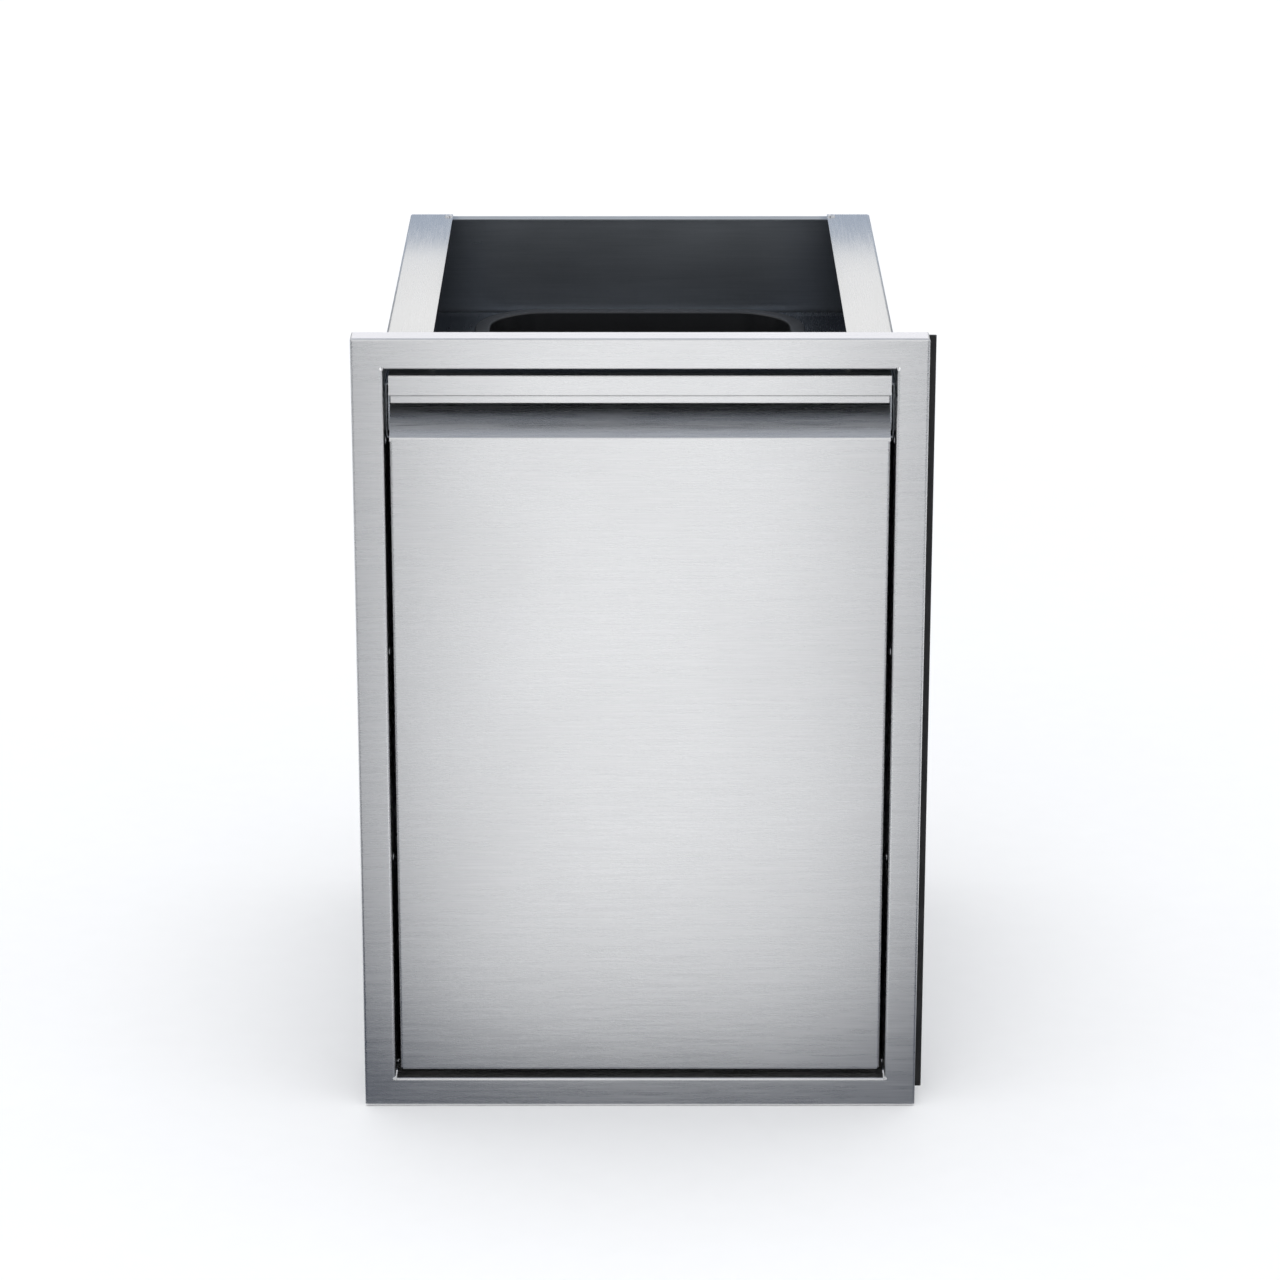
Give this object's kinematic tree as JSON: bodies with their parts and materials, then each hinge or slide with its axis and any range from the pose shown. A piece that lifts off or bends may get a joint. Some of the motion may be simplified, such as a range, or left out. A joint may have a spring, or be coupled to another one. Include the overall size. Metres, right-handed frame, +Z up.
{
  "type": "pull-out waste bin drawer",
  "caption": "Built-in brushed steel pull-out waste drawer: flanged front frame, open-topped housing, finger-grip drawer front, ball slides and a lift-out plastic bin.",
  "frame": {"origin": "middle of the housing's underside, in the plane of the cabinet face that the front flange lies on", "axes": "+Z up, +Y from the front flange back into the cabinet, +X to the right as seen from the front"},
  "size_m": [0.4633, 0.52, 0.66],
  "materials": {
    "brushed_front": "horizontal brushed grain",
    "brushed_body": "mill brushed",
    "plated_steel": "bright zinc plated",
    "bright_fastener": "polished stainless",
    "black_rubber": "matte",
    "bin_plastic": "fine moulded texture"
  },
  "bodies": {
    "housing": {"front_frame": "brushed_front", "left_wall": "brushed_body", "right_wall": "brushed_body", "back_wall": "brushed_body", "bottom_pan": "brushed_body", "frame_screws": "bright_fastener", "frame_nuts": "bright_fastener", "top_rivets": "bright_fastener", "pan_rivets": "bright_fastener", "back_rivets": "bright_fastener", "edge_seal": "black_rubber", "rear_bumpers": "black_rubber", "left_slide_outer": "plated_steel", "right_slide_outer": "plated_steel", "slide_rivets": "bright_fastener"},
    "slide_middles": {"left_slide_middle": "plated_steel", "right_slide_middle": "plated_steel"},
    "outer_cages": {"left_outer_cage": "plated_steel", "right_outer_cage": "plated_steel"},
    "inner_cages": {"left_inner_cage": "plated_steel", "right_inner_cage": "plated_steel"},
    "drawer": {"front_panel": "brushed_front", "grip_strip": "brushed_front", "front_liner": "brushed_body", "liner_rivets": "bright_fastener", "bin_tray": "brushed_body", "left_gusset": "brushed_body", "right_gusset": "brushed_body", "tray_screws": "bright_fastener", "front_screws": "bright_fastener", "left_slide_inner": "plated_steel", "right_slide_inner": "plated_steel"},
    "bin": {"bin": "bin_plastic"}
  },
  "joints": [
    {"name": "drawer_slide", "type": "slide", "parent": "housing", "child": "drawer", "axis": [0, -1, 0], "range_m": [0, 0.495]},
    {"name": "middle_slide", "type": "slide", "parent": "housing", "child": "slide_middles", "axis": [0, -1, 0], "range_m": [0, 0.2475]},
    {"name": "outer_cage_roll", "type": "slide", "parent": "housing", "child": "outer_cages", "axis": [0, -1, 0], "range_m": [0, 0.12375]},
    {"name": "inner_cage_roll", "type": "slide", "parent": "housing", "child": "inner_cages", "axis": [0, -1, 0], "range_m": [0, 0.37125]},
    {"name": "bin_lift", "type": "slide", "parent": "drawer", "child": "bin", "axis": [0, 0, 1], "range_m": [0, 0.51]}
  ],
  "couplings": [
    {"joint": "middle_slide", "follows": "drawer_slide", "ratio": 0.5},
    {"joint": "outer_cage_roll", "follows": "drawer_slide", "ratio": 0.25},
    {"joint": "inner_cage_roll", "follows": "drawer_slide", "ratio": 0.75}
  ]
}
